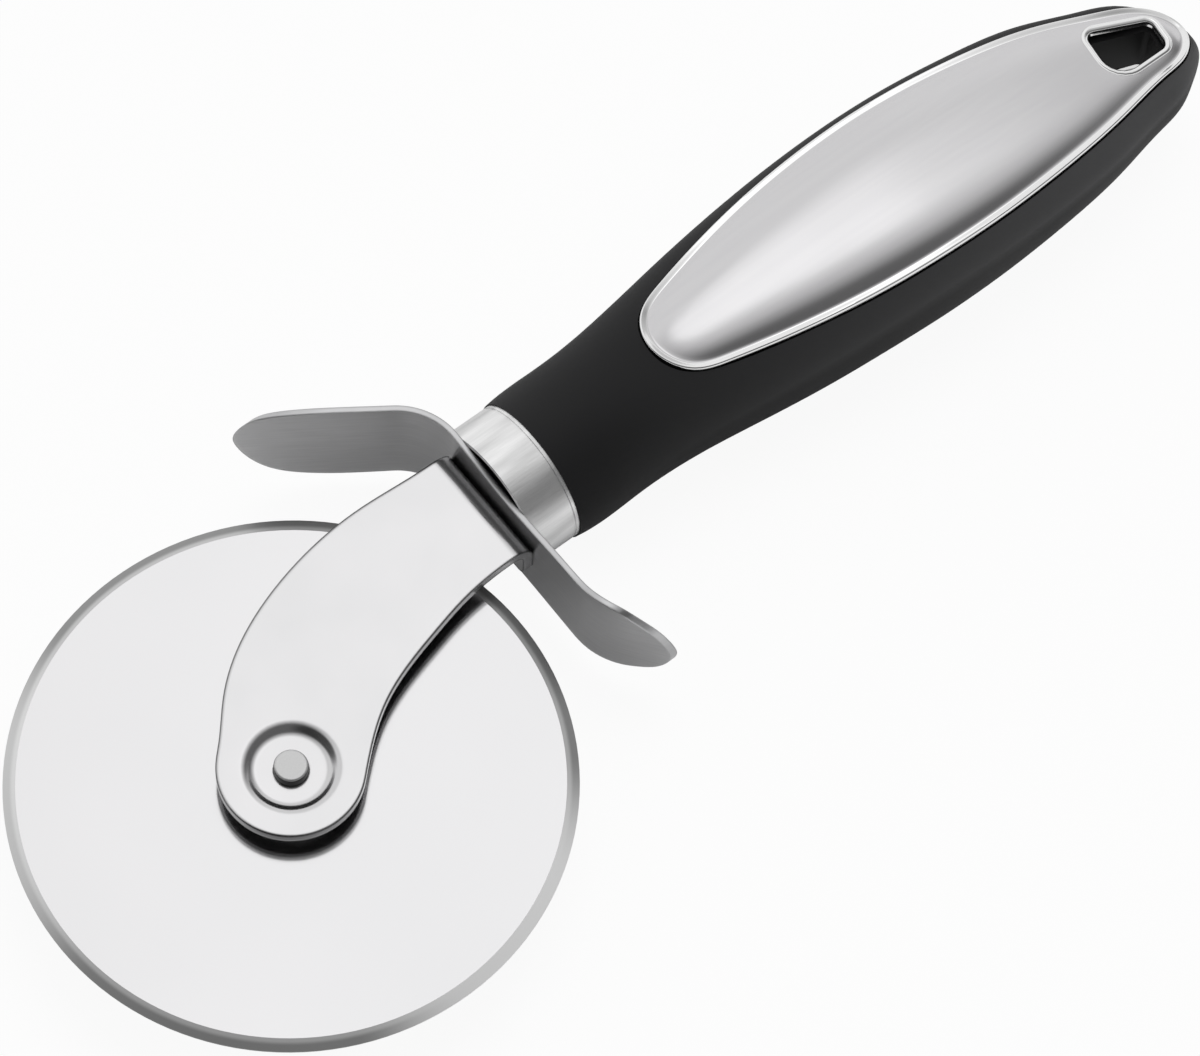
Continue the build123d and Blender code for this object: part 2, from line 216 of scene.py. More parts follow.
# The shade lies along a line under the handle, 38 mm to each side of this place, and it fades out
# between 1 and 8.5 mm from that line.
shade_middle, shade_half = (0.053, 0.0165, 0), (0.038, 0, 0)
off_middle = add(tree, "ShaderNodeVectorMath", {0: place, 1: shade_middle}, operation="SUBTRACT")
ahead = add(tree, "ShaderNodeVectorMath", {0: off_middle.outputs[0]}, operation="ABSOLUTE")
beyond = add(tree, "ShaderNodeVectorMath", {0: ahead.outputs[0], 1: shade_half},
             operation="SUBTRACT")
off_end = add(tree, "ShaderNodeVectorMath", {0: beyond.outputs[0], 1: (0, 0, 0)},
              operation="MAXIMUM")
off_line = add(tree, "ShaderNodeVectorMath", {0: off_end.outputs[0]}, operation="LENGTH")
open_air = add(tree, "ShaderNodeMapRange", {0: off_line.outputs["Value"], 1: 0.001, 2: 0.0085},
               interpolation_type="SMOOTHSTEP")
white = add(tree, "ShaderNodeMath", {0: open_air.outputs[0], 1: 0.93}, operation="MULTIPLY")
# Under the handle the paper's colour is painted grey: a painted shadow.
paper_and_painted_shadow = add(tree, "ShaderNodeMix",
           {0: open_air.outputs[0], 6: linear("#7A7A7A"), 7: linear("#EEEEEE")},
           data_type="RGBA")
sheet = add(tree, "ShaderNodeBsdfPrincipled", {"Base Color": paper_and_painted_shadow.outputs[2], "Roughness": 0.8})
glow = add(tree, "ShaderNodeEmission", {0: (1, 1, 1, 1), 1: 1.0})
# Steel sees the white paper from 35 mm on, measured from under the guard.
low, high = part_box("finger_guard")
under_guard = ((low.x + high.x) / 2, (low.y + high.y) / 2, 0)
away = add(tree, "ShaderNodeVectorMath", {0: place, 1: under_guard}, operation="DISTANCE")
share = add(tree, "ShaderNodeMapRange",
            {0: away.outputs["Value"], 1: 0.035, 2: 0.12, 3: 0.04, 4: 0.75},
            interpolation_type="SMOOTHSTEP")
path = add(tree, "ShaderNodeLightPath")
shown = add(tree, "ShaderNodeMath", {0: path.outputs["Is Camera Ray"], 1: white.outputs[0]},
            operation="MULTIPLY")
shiny = add(tree, "ShaderNodeMath", {0: path.outputs["Is Glossy Ray"], 1: share.outputs[0]},
            operation="MULTIPLY")
seen = add(tree, "ShaderNodeMath", {0: shown.outputs[0], 1: shiny.outputs[0]}, operation="ADD")
seen = add(tree, "ShaderNodeMath", {0: seen.outputs[0], 1: path.outputs["Is Transmission Ray"]},
           operation="ADD", use_clamp=True)
mixed = add(tree, "ShaderNodeMixShader",
            {0: seen.outputs[0], 1: sheet.outputs[0], 2: glow.outputs[0]})
add(tree, "ShaderNodeOutputMaterial", {0: mixed.outputs[0]})
floor.data.materials.append(paper_white)
print("floor covered with", paper_white.name)

# %% [markdown]
# ## Start a finish
# Each finish starts from Blender's Principled shader, fed with object coordinates, which are the
# part's own metres. So a pattern's scale is one over its real size.

# %% Start and give a finish
def start_finish(name):
    finish = bpy.data.materials.new(name)
    finish.use_nodes = True
    tree = finish.node_tree
    tree.nodes.clear()
    place = add(tree, "ShaderNodeTexCoord").outputs["Object"]
    shader = add(tree, "ShaderNodeBsdfPrincipled")
    add(tree, "ShaderNodeOutputMaterial", {0: shader.outputs[0]})
    return finish, tree, place, shader


def dress(node_name, finish):
    for slot in parts[node_name].material_slots:
        slot.material = finish
    print(node_name, "is now", finish.name)


# %% [markdown]
# ## Polished stainless steel, for the wheel
# The wheel is stamped from cold-rolled stainless sheet and polished, then its rim is ground from
# both sides to an edge. Polish gives clear, slightly soft reflections. Grinding leaves short
# scratches that point outwards, so the ground ring is greyer and duller. The distance from the
# wheel's axis tells the two apart.

# %% Find the ground ring
polished, tree, place, shader = start_finish("polished_stainless_wheel")
flat = add(tree, "ShaderNodeVectorMath", {0: place, 1: (1, 1, 0)}, operation="MULTIPLY")
out = add(tree, "ShaderNodeVectorMath",
          {0: flat.outputs[0], 1: (wheel_centre.x, wheel_centre.y, 0)},
          operation="SUBTRACT")
radius = add(tree, "ShaderNodeVectorMath", {0: out.outputs[0]}, operation="LENGTH")
ring_width, burr = 0.00162, 0.00006
ring_start = wheel_radius - ring_width
ground = add(tree, "ShaderNodeMapRange",
             {0: radius.outputs["Value"], 1: ring_start, 2: ring_start + burr})
print("ground ring from", ring_start, "m to", wheel_radius, "m")

# %% Finish the wheel
cloud = add(tree, "ShaderNodeTexNoise", {"Vector": place, "Scale": 1 / 0.045, "Detail": 2.0})
tone = add(tree, "ShaderNodeMix",
           {0: cloud.outputs["Fac"], 6: linear("#C9C9CA"), 7: linear("#D2D1D2")},
           data_type="RGBA")
# The ring darkens towards its edge, and two painted highlights brighten it at two fixed places
# round it.
dusk_start, dusk_end = ring_start + 0.0003, ring_start + 0.0009
edgeward = add(tree, "ShaderNodeMapRange", {0: radius.outputs["Value"], 1: dusk_start, 2: dusk_end},
               interpolation_type="SMOOTHSTEP")
dusk = add(tree, "ShaderNodeMix",
           {0: edgeward.outputs[0], 6: linear("#C6C6C6"), 7: linear("#969696")},
           data_type="RGBA")
aim = add(tree, "ShaderNodeVectorMath", {0: out.outputs[0]}, operation="NORMALIZE")
painted_highlights = []
for heading, amount in ((Vector((0.29, -0.957, 0)), 1.0), (Vector((-0.848, 0.53, 0)), 0.5)):
    close = add(tree, "ShaderNodeVectorMath", {0: aim.outputs[0], 1: heading},
                operation="DOT_PRODUCT")
    painted_highlight = add(tree, "ShaderNodeMapRange",
                {0: close.outputs["Value"], 1: 0.75, 2: 0.98, 3: 0.0, 4: amount},
                interpolation_type="SMOOTHSTEP")
    painted_highlights.append(painted_highlight.outputs[0])
painted_highlight = add(tree, "ShaderNodeMath", {0: painted_highlights[0], 1: painted_highlights[1]}, operation="ADD")
ring = add(tree, "ShaderNodeMix", {0: painted_highlight.outputs[0], 6: dusk.outputs[2], 7: linear("#F4F4F4")},
           data_type="RGBA")
colour = add(tree, "ShaderNodeMix", {0: ground.outputs[0], 6: tone.outputs[2], 7: ring.outputs[2]},
             data_type="RGBA")
tree.links.new(colour.outputs[2], shader.inputs["Base Color"])
dull = add(tree, "ShaderNodeMapRange", {0: ground.outputs[0], 3: 0.13, 4: 0.34})
tree.links.new(dull.outputs[0], shader.inputs["Roughness"])
shader.inputs["Metallic"].default_value = 1.0
dress("cutting_wheel", polished)

# %% [markdown]
# ## Polished strap steel, for the arm
# The arm is bent from thicker strap and tumbled bright after it is pressed, which leaves soft
# clouds in the polish and rounds the edges. A bevel node rounds them where the light meets them.

# %% Finish the arm
strap, tree, place, shader = start_finish("polished_stainless_strap")
cloud = add(tree, "ShaderNodeTexNoise", {"Vector": place, "Scale": 1 / 0.012, "Detail": 3.0})
tone = add(tree, "ShaderNodeMix",
           {0: cloud.outputs["Fac"], 6: linear("#C8C8C9"), 7: linear("#D3D2D3")},
           data_type="RGBA")
edge = add(tree, "ShaderNodeBevel", {"Radius": 0.0006}, samples=8)
tree.links.new(edge.outputs[0], shader.inputs["Normal"])
# Where the rounded direction and the flat one differ there is an edge, and a painted shade darkens
# it.
flat = add(tree, "ShaderNodeNewGeometry").outputs["Normal"]
same = add(tree, "ShaderNodeVectorMath", {0: edge.outputs[0], 1: flat}, operation="DOT_PRODUCT")
painted_edge_shade = add(tree, "ShaderNodeMapRange", {0: same.outputs["Value"], 1: 0.99, 2: 0.9, 3: 0.0, 4: 0.8})
edged = add(tree, "ShaderNodeMix", {0: painted_edge_shade.outputs[0], 6: tone.outputs[2], 7: linear("#4A4A4A")},
            data_type="RGBA")
tree.links.new(edged.outputs[2], shader.inputs["Base Color"])
shader.inputs["Metallic"].default_value = 1.0
shader.inputs["Roughness"].default_value = 0.19
dress("wheel_arm", strap)

# %% [markdown]
# ## Satin stainless sheet, for the guard
# The guard is thin sheet with the fine grain of a brushing belt, which runs along the strip. The
# lines are 0.3 mm apart, a little coarser than the real ones, so that they show at all.

# %% Finish the guard
satin, tree, place, shader = start_finish("satin_stainless_sheet")
stretched = add(tree, "ShaderNodeVectorMath", {0: place, 1: (1 / 0.006, 1 / 0.006, 1 / 0.0003)},
                operation="MULTIPLY")
lines = add(tree, "ShaderNodeTexNoise",
            {"Vector": stretched.outputs[0], "Scale": 1.0, "Detail": 4.0})
tone = add(tree, "ShaderNodeMix",
           {0: lines.outputs["Fac"], 6: linear("#B2B2B3"), 7: linear("#C9C9CA")},
           data_type="RGBA")
tree.links.new(tone.outputs[2], shader.inputs["Base Color"])
edge = add(tree, "ShaderNodeBevel", {"Radius": 0.00035}, samples=6)
grain = add(tree, "ShaderNodeBump",
            {"Strength": 0.15, "Distance": 0.00005, "Height": lines.outputs["Fac"],
             "Normal": edge.outputs[0]})
tree.links.new(grain.outputs[0], shader.inputs["Normal"])
shader.inputs["Metallic"].default_value = 1.0
shader.inputs["Roughness"].default_value = 0.28
dress("finger_guard", satin)

# %% [markdown]
# ## Brushed stainless tube, for the ferrule
# The tube was drawn and then rubbed along its length with an abrasive pad, so its short lines run
# along the handle and its tone changes in patches round it. A noise stretched along X gives the
# lines, and a wider one the patches.

# %% Finish the ferrule
tube, tree, place, shader = start_finish("brushed_stainless_tube")
stretched = add(tree, "ShaderNodeVectorMath", {0: place, 1: (1 / 0.004, 1 / 0.0003, 1 / 0.0003)},
                operation="MULTIPLY")
lines = add(tree, "ShaderNodeTexNoise",
            {"Vector": stretched.outputs[0], "Scale": 1.0, "Detail": 4.0})
wide = add(tree, "ShaderNodeVectorMath", {0: place, 1: (1 / 0.02, 1 / 0.003, 1 / 0.003)},
           operation="MULTIPLY")
patches = add(tree, "ShaderNodeTexNoise", {"Vector": wide.outputs[0], "Scale": 1.0, "Detail": 1.0})
rubbed = add(tree, "ShaderNodeMapRange", {0: patches.outputs["Fac"], 1: 0.35, 2: 0.65})
broad = add(tree, "ShaderNodeMix",
            {0: rubbed.outputs[0], 6: linear("#D6D6D6"), 7: linear("#FDFDFD")},
            data_type="RGBA")
tone = add(tree, "ShaderNodeMix", {0: lines.outputs["Fac"], 6: linear("#E9E9E9"), 7: (1, 1, 1, 1)},
           data_type="RGBA")
both = add(tree, "ShaderNodeMix", {0: 1.0, 6: broad.outputs[2], 7: tone.outputs[2]},
           data_type="RGBA", blend_type="MULTIPLY")
tree.links.new(both.outputs[2], shader.inputs["Base Color"])
grain = add(tree, "ShaderNodeBump",
            {"Strength": 0.3, "Distance": 0.00006, "Height": lines.outputs["Fac"]})
tree.links.new(grain.outputs[0], shader.inputs["Normal"])
shader.inputs["Metallic"].default_value = 1.0
shader.inputs["Roughness"].default_value = 0.34
dress("ferrule", tube)

# %% [markdown]
# ## Turned mild steel, for the rivet, its sleeve and the tang
# These are plain turned pieces. The rivet's end was upset with a hammering die, which leaves it
# matte and a little uneven.

# %% Finish the turned pieces
turned, tree, place, shader = start_finish("turned_steel")
pits = add(tree, "ShaderNodeTexNoise", {"Vector": place, "Scale": 1 / 0.00025, "Detail": 3.0})
tone = add(tree, "ShaderNodeMix",
           {0: pits.outputs["Fac"], 6: linear("#C8C8C8"), 7: linear("#D4D4D4")},
           data_type="RGBA")
# The sides are painted darker than the ends, as painted shade on the side walls.
facing = add(tree, "ShaderNodeTexCoord").outputs["Normal"]
upright = add(tree, "ShaderNodeSeparateXYZ", {0: facing})
side = add(tree, "ShaderNodeMapRange", {0: upright.outputs["Z"], 1: 0.35, 2: 0.8, 3: 1.0, 4: 0.0})
painted_side_shade = add(tree, "ShaderNodeMix", {0: side.outputs[0], 6: tone.outputs[2], 7: linear("#4C4C4C")},
             data_type="RGBA")
tree.links.new(painted_side_shade.outputs[2], shader.inputs["Base Color"])
uneven = add(tree, "ShaderNodeBump",
             {"Strength": 0.15, "Distance": 0.00005, "Height": pits.outputs["Fac"]})
tree.links.new(uneven.outputs[0], shader.inputs["Normal"])
shader.inputs["Metallic"].default_value = 1.0
shader.inputs["Roughness"].default_value = 0.42
for name in ("axle_rivet", "spacer_sleeve", "tang"):
    dress(name, turned)

# %% [markdown]
# ## Natural nylon, for the washers
# Nylon washers are milky white, because light goes a little way into them.

# %% Finish the washers
nylon, tree, place, shader = start_finish("natural_nylon")
milk = add(tree, "ShaderNodeTexNoise", {"Vector": place, "Scale": 1 / 0.002, "Detail": 2.0})
tone = add(tree, "ShaderNodeMix",
           {0: milk.outputs["Fac"], 6: linear("#DEDBD2"), 7: linear("#ECEAE3")},
           data_type="RGBA")
tree.links.new(tone.outputs[2], shader.inputs["Base Color"])
shader.inputs["Roughness"].default_value = 0.45
for name in ("front_washer", "rear_washer"):
    dress(name, nylon)

# %% [markdown]
# ## Soft-touch rubber, for the grip
# The grip is thermoplastic rubber moulded over a hard core. The mould's surface is finely sparked,
# which gives a satin black with a wide, faint sheen. The grain is 0.25 mm, as in the mould. The
# side facing -Y is painted a little paler towards the tip: painted light.

# %% Finish the grip
rubber, tree, place, shader = start_finish("soft_touch_rubber")
spark = add(tree, "ShaderNodeTexNoise", {"Vector": place, "Scale": 1 / 0.00025, "Detail": 2.0})
patches = add(tree, "ShaderNodeTexNoise", {"Vector": place, "Scale": 1 / 0.02, "Detail": 2.0})
tone = add(tree, "ShaderNodeMix",
           {0: patches.outputs["Fac"], 6: linear("#19191A"), 7: linear("#202021")},
           data_type="RGBA")
along = add(tree, "ShaderNodeSeparateXYZ", {0: place})
to_tip = add(tree, "ShaderNodeMapRange", {0: along.outputs["X"], 1: -0.005, 2: 0.09})
facing = add(tree, "ShaderNodeSeparateXYZ", {0: add(tree, "ShaderNodeTexCoord").outputs["Normal"]})
sideways = add(tree, "ShaderNodeMapRange", {0: facing.outputs["Y"], 1: 0.1, 2: -0.7},
               interpolation_type="SMOOTHSTEP")
outside = add(tree, "ShaderNodeMapRange", {0: facing.outputs["Z"], 1: 0.02, 2: 0.15})
# This mask marks where painted light makes the grip paler: towards the tip, on the side facing -Y
# and up.
grip_painted_light_mask = add(tree, "ShaderNodeMath", {0: to_tip.outputs[0], 1: sideways.outputs[0]},
           operation="MULTIPLY")
grip_painted_light_mask = add(tree, "ShaderNodeMath", {0: grip_painted_light_mask.outputs[0], 1: outside.outputs[0]},
           operation="MULTIPLY")
grip_with_painted_light = add(tree, "ShaderNodeMix", {0: grip_painted_light_mask.outputs[0], 6: tone.outputs[2], 7: linear("#525253")},
           data_type="RGBA")
tree.links.new(grip_with_painted_light.outputs[2], shader.inputs["Base Color"])
dull = add(tree, "ShaderNodeMapRange", {0: patches.outputs["Fac"], 3: 0.58, 4: 0.68})
tree.links.new(dull.outputs[0], shader.inputs["Roughness"])
grain = add(tree, "ShaderNodeBump",
            {"Strength": 0.12, "Distance": 0.00005, "Height": spark.outputs["Fac"]})
tree.links.new(grain.outputs[0], shader.inputs["Normal"])
shader.inputs["Specular IOR Level"].default_value = 0.22
shader.inputs["IOR"].default_value = 1.48
dress("handle_grip", rubber)

# %% [markdown]
# ## Moulded polypropylene, for the core
# The hard core hardly shows: only a little of it can be seen through the hang hole.

# %% Finish the core
hard_black, tree, place, shader = start_finish("moulded_polypropylene")
flow = add(tree, "ShaderNodeTexNoise", {"Vector": place, "Scale": 1 / 0.008, "Detail": 2.0})
tone = add(tree, "ShaderNodeMix",
           {0: flow.outputs["Fac"], 6: linear("#1A1A1A"), 7: linear("#222222")},
           data_type="RGBA")
tree.links.new(tone.outputs[2], shader.inputs["Base Color"])
shader.inputs["Roughness"].default_value = 0.4
dress("handle_core", hard_black)

# %% [markdown]
# ## Bright chrome plate, for the inlays
# The plates are moulded, plated with bright chrome and lightly brushed along the handle. The soft
# brushing spreads each reflection along the plate, so tones change slowly from end to end. The
# brushed lines are 0.8 mm apart, much coarser than real ones, and very faint. The lip and the rim
# of the hang hole stay as they come from the bath, as clear as a mirror, and their colour is
# painted brighter as a painted highlight.

# %% Make the chrome
chrome, tree, place, shader = start_finish("bright_chrome_plate")
stretched = add(tree, "ShaderNodeVectorMath", {0: place, 1: (1 / 0.05, 1 / 0.0008, 1 / 0.0008)},
                operation="MULTIPLY")
lines = add(tree, "ShaderNodeTexNoise",
            {"Vector": stretched.outputs[0], "Scale": 1.0, "Detail": 3.0})
tone = add(tree, "ShaderNodeMix",
           {0: lines.outputs["Fac"], 6: linear("#CDCCCE"), 7: linear("#D3D2D3")},
           data_type="RGBA")
tree.links.new(tone.outputs[2], shader.inputs["Base Color"])
cloud = add(tree, "ShaderNodeTexNoise", {"Vector": place, "Scale": 1 / 0.015, "Detail": 2.0})
dull = add(tree, "ShaderNodeMapRange", {0: cloud.outputs["Fac"], 1: 0.3, 2: 0.7, 3: 0.17, 4: 0.22})
tree.links.new(dull.outputs[0], shader.inputs["Roughness"])
shader.inputs["Metallic"].default_value = 1.0
print("made", chrome.name)

# %% Make the chrome of the lip and the rim
polished_chrome, tree, place, shader = start_finish("polished_chrome_lip")
cloud = add(tree, "ShaderNodeTexNoise", {"Vector": place, "Scale": 1 / 0.006, "Detail": 2.0})
# The lip's colour is painted brighter than the plate's: a painted highlight.
tone = add(tree, "ShaderNodeMix",
           {0: cloud.outputs["Fac"], 6: linear("#E6E6E6"), 7: linear("#F0F0F0")},
           data_type="RGBA")
tree.links.new(tone.outputs[2], shader.inputs["Base Color"])
shader.inputs["Metallic"].default_value = 1.0
shader.inputs["Roughness"].default_value = 0.12
print("made", polished_chrome.name)

# %% [markdown]
# ## The form of the plates
# The solid inlay is plain, with a sharp edge. The real plate has a crown that falls off towards a
# rolled lip, with a fine valley between them, and those few tenths of a millimetre make the bright
# double line along its edge. So the plate is drawn again over the solid. Its height comes from the
# same sections as the handle: a row holds the place along the handle, the half width, the half
# thickness, the bow to the side and how far the tip has closed.

# %% The handle's sections
handle_sections = np.array([
    (0.0, 0.7133, 0.919, 0.0, 1.0), (0.09, 0.7305, 0.919, 0.045, 1.0),
    (0.181, 0.7635, 0.928, 0.155, 1.0), (0.273, 0.85, 0.964, 0.207, 1.0),
    (0.365, 0.927, 0.998, 0.22, 1.0), (0.457, 0.977, 0.991, 0.227, 1.0),
    (0.549, 1.0, 0.964, 0.187, 1.0), (0.641, 0.992, 0.901, 0.127, 1.0),
    (0.733, 0.937, 0.816, 0.033, 1.0), (0.825, 0.831, 0.698, -0.093, 1.0),
    (0.899, 0.668, 0.599, -0.333, 1.0), (0.945, 0.555, 0.563, -0.557, 0.974),
    (0.972, 0.462, 0.556, -0.767, 0.825), (0.987, 0.43, 0.556, -0.9, 0.635),
    (0.996, 0.42, 0.556, -0.983, 0.385), (1.0, 0.42, 0.556, -1.017, 0.14)])
handle_length = 0.1087
half_width, half_thickness, bow_width, rise = 0.0143, 0.0111, 0.003, 0.0003
grip_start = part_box("ferrule")[1].x
mid_z = wheel_centre.z
print(len(handle_sections), "sections from", grip_start, "m on")

# %% [markdown]
# ## The crown's height
# A smooth curve runs through the sections. The handle is an ellipse near the ferrule and a squarer
# oval further on, so the power in its formula grows from 2 to 3.

# %% Work out the height
squarer_from, squarer_over = 0.1, 0.45
widest, under_solid = 0.999, 0.000005


def through(places, values):
    # A smooth curve through points: it returns a function of the place.
    places, values = np.array(places, float), np.array(values, float)
    gaps = np.diff(places)
    slopes = np.diff(values, axis=0) / gaps.reshape(-1, *[1] * (values.ndim - 1))
    count = len(places)
    grid = np.zeros((count, count))
    side = np.zeros_like(values)
    grid[0, :2] = 2, 1
    grid[-1, -2:] = 1, 2
    side[0], side[-1] = 3 * slopes[0], 3 * slopes[-1]
    for k in range(1, count - 1):
        grid[k, k - 1:k + 2] = gaps[k], 2 * (gaps[k - 1] + gaps[k]), gaps[k - 1]
        side[k] = 3 * (gaps[k] * slopes[k - 1] + gaps[k - 1] * slopes[k])
    lean = np.linalg.solve(grid, side)

    def value(place):
        k = int(np.clip(np.searchsorted(places, place) - 1, 0, count - 2))
        f = (place - places[k]) / gaps[k]
        f2, f3 = f ** 2, f ** 3
        return ((2 * f3 - 3 * f2 + 1) * values[k] + (f3 - 2 * f2 + f) * gaps[k] * lean[k]
                + (3 * f2 - 2 * f3) * values[k + 1] + (f3 - f2) * gaps[k] * lean[k + 1])
    return value


sections_at = through(handle_sections[:, 0], handle_sections[:, 1:])


def middle_y(share):
    return handle_axis.y + bow_width * np.interp(share, handle_sections[:, 0],
                                                 handle_sections[:, 3])


def plate_height(x, y):
    # The height of the crown over the middle plane, kept just inside the solid's box.
    share = (x - grip_start) / (handle_length + rise)
    width, thickness, bow, closing = sections_at(share)
    power = 2 + min(max((share - squarer_from) / squarer_over, 0), 1)
    half_y = (half_width * width + rise) * closing
    half_z = (half_thickness * thickness + rise) * closing
    across = min(abs(y - handle_axis.y - bow_width * bow) / half_y, widest)
    return half_z * (1 - across ** power) ** (1 / power) - under_solid


print("plate height in the middle of the handle",
      plate_height(grip_start + handle_length / 2, handle_axis.y))

# %% [markdown]
# ## The plate's outline and rows
# The outline is a smooth closed curve through a few points on each side of the middle line, each
# given as its share of the handle's length and of its half width. The mesh is a grid: columns
# follow the outline from end to end, and rows run in from the edge to the middle line, the spine.
# Rows lie close together at the lip and far apart on the calm crown.

# %% Draw the outline and the rows
plate_shares = [
    (0.2, 0.352), (0.246, 0.5), (0.32, 0.631), (0.422, 0.757), (0.523, 0.818),
    (0.627, 0.817), (0.731, 0.75), (0.839, 0.606), (0.919, 0.434), (0.966, 0.285)]
ends, spine_ends = (0.178, 0.989), (0.245, 0.925)


def outline_point(share, width):
    return (grip_start + share * handle_length, middle_y(share) + half_width * width)


loop = [outline_point(ends[0], 0)] + [outline_point(s, w) for s, w in plate_shares]
loop += [outline_point(ends[1], 0)] + [outline_point(s, -w) for s, w in reversed(plate_shares)]
# A few points are added again before and after the loop, so that the curve closes smoothly.
count, lead = len(loop), 4
wrapped = np.array(loop[-lead:] + loop + loop[:lead + 1])
run = np.concatenate([[0], np.cumsum(np.linalg.norm(np.diff(wrapped, axis=0), axis=1))])
edge_at = through(run, wrapped)
run_start, run_end, run_back = run[lead], run[lead + count // 2], run[lead + count]
columns = 150
# Columns lie closer together near the ends, where the outline turns.
slide = []
for j in range(columns + 1):
    eased = (1 - math.cos(math.pi * j / columns)) / 2
    slide.append(eased * 0.5 + j / columns * 0.5)
upper_edge = [edge_at(run_start + f * (run_end - run_start)) for f in slide]
lower_edge = [edge_at(run_back + f * (run_end - run_back)) for f in slide]
# Each row: how far in from the edge, and how far the surface lies under the handle's crown, in mm.
lip_rows = [
    (0, 0.1), (0.02, 0.02), (0.07, -0.06), (0.14, -0.11), (0.24, -0.12), (0.44, 0.02),
    (0.64, 0.17), (0.86, 0.325), (1.0, 0.405), (1.12, 0.44), (1.26, 0.45), (1.45, 0.425),
    (1.8, 0.345), (2.3, 0.23), (3.0, 0.12), (3.8, 0.05), (4.8, 0.01), (6.0, 0.0)]
# The first 8 of these rows are the polished lip, and 5 more rows cross the crown. Where the plate
# is narrow, the rows of the lip stop at nine tenths of the way to the spine.
lip_count, crown_rows, lip_limit = 8, 5, 0.9
plate_depth = 0.0015
print("outline of", count, "points, grid of", columns, "by", 2 * (len(lip_rows) + crown_rows))

# %% [markdown]
# ## The hang hole's rim
# Near the tip a low bead runs round the hang hole, slopes a little towards it and turns down into
# it. The hole is a four-sided shape with three small roundings and one large one. The same
# outline, moved out, cuts the plate, and then carries the rim.

# %% Draw the hang hole
hole_share, hole_half, hole_side = 0.914, 0.0049, 0.0038
# Each corner: shares of the half length and half width, and the radius of its rounding in mm.
hole_corners = [(-1.0, 0.97, 1.2), (0.86, 0.37, 1.2), (0.86, -0.74, 1.2), (-1.0, -1.16, 3.0)]
# The rim reaches 1 mm out from the hole's edge, a little further than the plate's own hole.
rim_reach, rim_overlap, arc_steps = 0.001, 0.00003, 8
# Each row of the rim: how far out from the hole's edge, and how far down, in mm.
rim_rows = [
    (1.0, 0), (0.93, 0.025), (0.86, 0.02), (0.79, -0.03), (0.72, -0.08), (0.63, -0.105),
    (0.54, -0.09), (0.42, -0.03), (0.3, 0.04), (0.2, 0.1), (0.12, 0.18), (0.05, 0.3),
    (0.01, 0.5), (0, 0.8), (0, 1.2)]


def rounded(corners):
    # Points and outward directions round a polygon with rounded corners, going clockwise.
    points = []
    for k, (x, y, radius) in enumerate(corners):
        here = Vector((x, y))
        before = (Vector(corners[k - 1][:2]) - here).normalized()
        after = (Vector(corners[(k + 1) % len(corners)][:2]) - here).normalized()
        half_angle = before.angle(after) / 2
        centre = here + (before + after).normalized() * radius / math.sin(half_angle)
        first = here + before * radius / math.tan(half_angle) - centre
        last = here + after * radius / math.tan(half_angle) - centre
        for step in range(arc_steps + 1):
            way_out = first.lerp(last, step / arc_steps).normalized()
            points.append((centre + way_out * radius, way_out))
    return points


hole_shift = 0.0005
hole_middle = Vector((grip_start + hole_share * handle_length, middle_y(hole_share) + hole_shift))
# The hole is turned with the middle line, as it runs between these two shares of the length.
turn_start, turn_end = 0.84, 0.989
sideways = middle_y(turn_end) - middle_y(turn_start)
turn = Matrix.Rotation(math.atan2(sideways, (turn_end - turn_start) * handle_length), 2)
corners = [(x * hole_half, y * hole_side, radius / 1000) for x, y, radius in hole_corners]
hole_edge = []
for point, way_out in rounded(corners):
    hole_edge.append((hole_middle + turn @ point, turn @ way_out))
print("hang hole round", hole_middle, "with", len(hole_edge), "points")

# %% [markdown]
# ## Build one plate
# The grid is made with bmesh, once for the face and once 1.5 mm lower for the back, with a wall
# round the edge, so that it is a closed solid. The lip's rows take the second finish.

# %% Build the front plate
def new_piece(name, build, *finishes):
    mesh = bpy.data.meshes.new(name)
    bmesh.ops.recalc_face_normals(build, faces=build.faces)
    build.to_mesh(mesh)
    build.free()
    piece = bpy.data.objects.new(name, mesh)
    bpy.context.scene.collection.objects.link(piece)
    for finish in finishes:
        mesh.materials.append(finish)
    return piece


